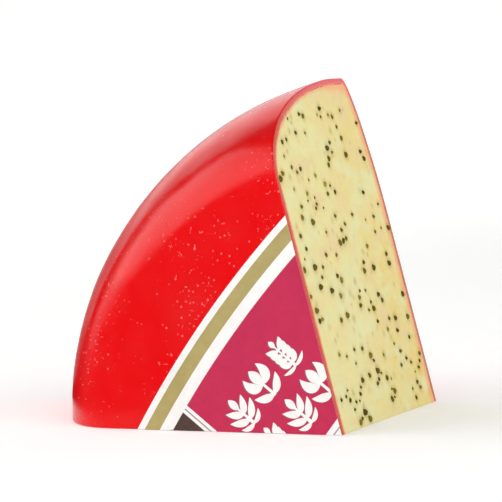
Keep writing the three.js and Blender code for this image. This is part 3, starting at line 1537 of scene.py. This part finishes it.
    def panel_patches(self) -> list[Patch]:
        """Make the brown side panel, the white strips beside and below the field, and their rules."""
        inks = list(Ink)
        top = self.arc_radius - self.trim_width - self.gold_width - self.border_width
        rule_end = self.side_rule_at - self.side_rule_width
        far = -math.sin(self.half) * self.corner
        middle = (self.side_rule_at + rule_end) / 2
        line = self.hair_line / 2
        white, grey, brown = (inks.index(ink) for ink in (Ink.PAPER, Ink.GREY, Ink.BROWN))
        foot = self.foot_height
        return [
            *self.sheet(*self.column(rule_end, self.side_rule_at, top), 1, white),
            *self.sheet(*self.column(far, rule_end, top), 1, brown),
            *self.sheet(*self.column(middle - line, middle + line, top), 2, grey),
            *self.sheet(*self.row(0.0, foot), 1, white),
            *self.sheet(*self.row(foot * 0.5 - line, foot * 0.5 + line), 2, grey),
        ]

    def ornament_patches(self) -> list[Patch]:
        """Make the two lines of plant ornaments and the thin shadow beside each stroke."""
        inks = list(Ink)
        lines = [
            [Ornament.SPRIG, Ornament.BLOOM, Ornament.EAR],
            [Ornament.EAR, Ornament.SPRIG, Ornament.BLOOM],
        ]
        shadow = np.array([-0.3, 0.12]) * MM
        patches = []
        for ornaments, start, offset in zip(lines, self.line_starts, self.line_offsets):
            for place_in_line, ornament in enumerate(ornaments):
                left = offset + (place_in_line - 0.5) * self.ornament_step
                for number, stroke in enumerate(ornament.value):
                    grid = stroke.grid() * self.print_height + (left, start)
                    extra = 0.0009 * MM * number
                    for shift, layer, ink in ((shadow, 1, Ink.SHADOW), ((0, 0), 2, Ink.PAPER)):
                        across, up = np.moveaxis(grid + shift, -1, 0)
                        patches += self.sheet(across, up, layer, inks.index(ink), extra)
        return patches

    def build(self, shop: Workshop) -> list[bpy.types.Object]:
        """Make the paper and the print on it.

        Args:
            shop: Where the materials are made.

        Returns:
            The paper and the print.
        """
        materials = [PrintFinish(ink).build(shop) for ink in Ink]
        paper = make_piece("label_paper", self.paper_patches(), materials)
        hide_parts("label")
        panels = make_piece("label_panels", self.panel_patches(), materials)
        ornaments = make_piece("label_ornaments", self.ornament_patches(), materials)
        for piece in (paper, panels, ornaments):
            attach(piece, ROOT)
        return [paper, panels, ornaments]


# ---------------------------------------------------------------------------------------------
# The studio
# ---------------------------------------------------------------------------------------------


@dataclass(frozen=True)
class SoftBox:
    """A rectangular soft light that looks at the wedge.

    Attributes:
        name: What it is called.
        azimuth: Its direction from the wedge, in degrees: 0 is -Y and 90 is +X.
        elevation: Its height above the horizon, in degrees.
        distance: How far it is from the wedge.
        width: Its size from side to side.
        height: Its size up and down.
        power: In watts.
        mirrored: Whether reflections show it.
    """

    name: str
    azimuth: float
    elevation: float
    distance: float
    width: float
    height: float
    power: float
    mirrored: bool = True

    def build(self, aim: Vector) -> bpy.types.Object:
        """Make the light, hidden from the camera.

        Args:
            aim: The point that it looks at.

        Returns:
            The light.
        """
        data = bpy.data.lights.new(self.name, "AREA")
        data.shape = "RECTANGLE"
        data.size = self.width
        data.size_y = self.height
        data.energy = self.power
        light = bpy.data.objects.new(self.name, data)
        bpy.context.scene.collection.objects.link(light)
        turn, tilt = math.radians(self.azimuth), math.radians(self.elevation)
        back = Vector(
            (math.sin(turn) * math.cos(tilt), -math.cos(turn) * math.cos(tilt), math.sin(tilt))
        )
        light.location = aim + back * self.distance
        light.rotation_euler = (-back).to_track_quat("-Z", "Y").to_euler()
        light.visible_camera = False
        light.visible_glossy = self.mirrored
        return light


@dataclass
class Studio:
    """A pale floor that curves up into a wall all round, soft lights and a long lens.

    Attributes:
        floor_radius: Where the floor starts to curve up.
        curve: The radius of that curve.
        wall_height: The wall's top.
        floor_drop: How far the floor lies under the wedge.
        glow_from: How far out the floor's faint glow starts.
        glow_to: Where it is at its strongest.
        glow: How strong that is.
        floor_glow: How strong the glow is under the wedge.
        flag_radius: The distance of the dark card that keeps reflections off the front face.
        flag_height: The card's height in its middle.
        flag_rise: How much taller it is at its right end.
        grey_height: The height of the grey card at the back left.
        grey: Its colour.
        post_height: How much taller the dark card is in one narrow place, which splits two
            highlights.
        post_at: The angle of that place.
        flag_from: The dark card's left end, in degrees from -Y towards +X.
        flag_to: Its right end.
        flag_inner: How near the part that lies on the floor comes to the wedge's middle.
        flag_lift: How far that part lies above the floor.
        grey_from: The grey card's far end, in degrees.
        grey_to: Its near end.
        grey_inner: How near it comes to the wedge's middle.
        grey_lift: How far it lies above the floor.
        sky: How bright the sky is.
        camera_azimuth: The camera's direction, in degrees from -Y towards +X.
        camera_elevation: Its height above the horizon, in degrees.
        camera_roll: Its turn about its own axis, in degrees.
        camera_distance: How far it is from the aim.
        camera_lens: Its focal length, in millimetres.
        aim: The point that it looks at.
    """

    floor_radius: float = 1.7
    curve: float = 0.7
    wall_height: float = 2.1
    floor_drop: float = 0.1 * MM
    glow_from: float = 0.4
    glow_to: float = 1.6
    glow: float = 0.155
    floor_glow: float = 0.17
    flag_radius: float = 0.42
    flag_height: float = 0.12
    flag_rise: float = 0.18
    grey_height: float = 0.13
    grey: Colour = linear(150, 146, 146)
    post_height: float = 0.55
    post_at: float = math.radians(-107)
    flag_from: float = -120.0
    flag_to: float = 6.0
    flag_inner: float = 0.065
    flag_lift: float = 0.5 * MM
    grey_from: float = -165.0
    grey_to: float = -119.0
    grey_inner: float = 0.07
    grey_lift: float = 0.4 * MM
    sky: float = 0.1
    camera_azimuth: float = 23.54
    camera_elevation: float = 3.21
    camera_roll: float = -1.56
    camera_distance: float = 0.5769
    camera_lens: float = 171.0
    aim: Vector = field(default_factory=lambda: Vector((24.9, -40.7, 45.1)) * MM)

    def lights(self) -> list[SoftBox]:
        """List the soft boxes."""
        return [
            SoftBox("left_box", -63.0, 34.0, 1.25, 1.45, 0.9, 7.6),
            SoftBox("right_box", 58.0, 30.0, 1.3, 1.1, 0.9, 5.4),
            SoftBox("front_box", 12.0, 62.0, 1.3, 1.1, 0.7, 1.0),
            SoftBox("back_fill", -126.0, 38.0, 1.75, 1.2, 1.2, 4.2, mirrored=False),
        ]

    def plain(self, name: str, colour: Colour, roughness: float) -> bpy.types.Material:
        """Make a matt material for the studio's own surfaces.

        Args:
            name: The material's name.
            colour: Its colour.
            roughness: Its roughness.

        Returns:
            The material.
        """
        material = bpy.data.materials.new(name)
        material.use_nodes = True
        shader = material.node_tree.nodes["Principled BSDF"]
        set_shader(shader, Base_Color=colour, Roughness=roughness, Specular_IOR_Level=0.1)
        return material

    def revolve(self, name: str, radius: Array, height: Array, turn: Array) -> bpy.types.Object:
        """Make an open surface by turning a profile about the vertical axis.

        Args:
            name: The object's name.
            radius: The profile's distances from the axis.
            height: Its heights, or a row of them for each angle.
            turn: The angles that it is turned to, from the -Y direction towards +X.

        Returns:
            The surface.
        """
        radius, height, turn = np.broadcast_arrays(radius, height, turn[:, None])
        points = np.stack([radius * np.sin(turn), -radius * np.cos(turn), height], -1)
        patch = Patch(points)
        mesh = bpy.data.meshes.new(name)
        mesh.from_pydata(points.reshape(-1, 3), [], patch.faces(0))
        mesh.polygons.foreach_set("use_smooth", np.ones(len(mesh.polygons), bool))
        surface = bpy.data.objects.new(name, mesh)
        bpy.context.scene.collection.objects.link(surface)
        surface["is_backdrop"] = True
        return surface

    def build_floor(self) -> None:
        """Make the floor and its wall: flat, then a quarter circle, then straight up.

        The wall and the floor near it glow a little, as the cloth of a lit tent does.
        """
        bend = np.linspace(0, math.pi / 2, 24)
        radius = np.concatenate([[0, 0.3, 1.0], self.floor_radius + self.curve * np.sin(bend)])
        height = np.concatenate([[0, 0, 0], self.curve * (1 - np.cos(bend))])
        radius = np.append(radius, radius[-1])
        height = np.append(height, self.wall_height) - self.floor_drop
        floor = self.revolve("floor", radius, height, np.linspace(0, 2 * math.pi, 97))
        paint = self.plain("pale_floor", linear(248, 248, 247), 0.9)
        nodes = NodeTree(paint.node_tree)
        shader = paint.node_tree.nodes["Principled BSDF"]
        away = nodes.add(
            "VectorMath", {0: nodes.add("TexCoord").outputs["Object"]}, operation="LENGTH"
        )
        glow = nodes.rise(away.outputs["Value"], self.glow_from, self.glow_to, self.glow)
        glow = nodes.math("ADD", glow, self.floor_glow)
        nodes.tree.links.new(glow, shader.inputs["Emission Strength"])
        set_shader(shader, Emission_Color=(1.0, 1.0, 1.0, 1.0))
        floor.data.materials.append(paint)

    def only_reflected(self, card: bpy.types.Object) -> None:
        """Hide a card from everything but reflections."""
        card.visible_camera = False
        card.visible_diffuse = False
        card.visible_transmission = False
        card.visible_volume_scatter = False
        card.visible_shadow = False

    def build_grey_card(self) -> None:
        """Make the low grey card at the back left, which dims the far side's highlight."""
        turn = np.radians(np.linspace(self.grey_from, self.grey_to, 24))
        radius = np.array([self.grey_inner, self.flag_radius, self.flag_radius])
        height = np.array([self.grey_lift, self.grey_lift, self.grey_height])
        card = self.revolve("grey_card", radius, height, turn)
        card.data.materials.append(self.plain("grey_card", self.grey, 1.0))
        self.only_reflected(card)

    def build_flag(self) -> None:
        """Make the dark card, which only reflections see.

        It lies on the floor and then stands up, low at its left end and tall at its right end,
        with one narrow post between them.
        """
        turn = np.radians(np.linspace(self.flag_from, self.flag_to, 120))
        radius = np.array([self.flag_inner, self.flag_radius, self.flag_radius])
        top = self.flag_height * (0.4 + 0.6 * smooth_step(turn, -1.5, -1.05))
        top += self.flag_rise * smooth_step(turn, -0.6, -0.3)
        top += self.post_height * smooth_step(-abs(turn - self.post_at), -0.15, -0.09)
        foot = np.full_like(top, self.flag_lift)
        height = np.stack([foot, foot, top], -1)
        flag = self.revolve("dark_card", radius, height, turn)
        flag.data.materials.append(self.plain("dark_card", (0.0, 0.0, 0.0, 1.0), 1.0))
        self.only_reflected(flag)

    def build_camera(self) -> None:
        """Make the camera, turned round its own axis by the roll after it looks at the aim."""
        turn, tilt = math.radians(self.camera_azimuth), math.radians(self.camera_elevation)
        back = Vector(
            (math.sin(turn) * math.cos(tilt), -math.cos(turn) * math.cos(tilt), math.sin(tilt))
        )
        right = Vector((math.cos(turn), math.sin(turn), 0))
        roll = Matrix.Rotation(math.radians(self.camera_roll), 4, back)
        right = roll @ right
        up = back.cross(right)
        axes = Matrix((right, up, back)).transposed().to_4x4()
        data = bpy.data.cameras.new("camera")
        data.lens = self.camera_lens
        data.sensor_width = 36.0
        data.clip_start = 0.01
        camera = bpy.data.objects.new("camera", data)
        bpy.context.scene.collection.objects.link(camera)
        camera.matrix_world = Matrix.Translation(self.aim + back * self.camera_distance) @ axes
        bpy.context.scene.camera = camera

    def build(self) -> None:
        """Make the floor, the two cards, the lights, the sky and the camera."""
        self.build_floor()
        self.build_flag()
        self.build_grey_card()
        for light in self.lights():
            light.build(Vector((0, 0, self.aim.z)))
        world = bpy.data.worlds.new("sky")
        world.use_nodes = True
        background = world.node_tree.nodes["Background"]
        background.inputs["Color"].default_value = (1.0, 1.0, 1.0, 1.0)
        background.inputs["Strength"].default_value = self.sky
        bpy.context.scene.world = world
        bpy.context.scene.view_settings.view_transform = "Standard"
        self.build_camera()
        log.info("studio: %d lights", len(self.lights()))


def corners() -> list[list[float]]:
    """Give the shown object's lowest and highest corner as plain lists."""
    return [list(corner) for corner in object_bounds()]


def main() -> None:
    """Build the wedge and the studio."""
    logging.basicConfig(level=logging.INFO, format="%(name)s: %(message)s")
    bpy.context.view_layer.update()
    wheel = Wheel.of_frame()
    shop = Workshop()
    Cheese(wheel).build(shop)
    WaxCoat(wheel).build(shop)
    Label.of_frame(wheel).build(shop)
    Studio().build()


if __name__ == "__main__":
    main()
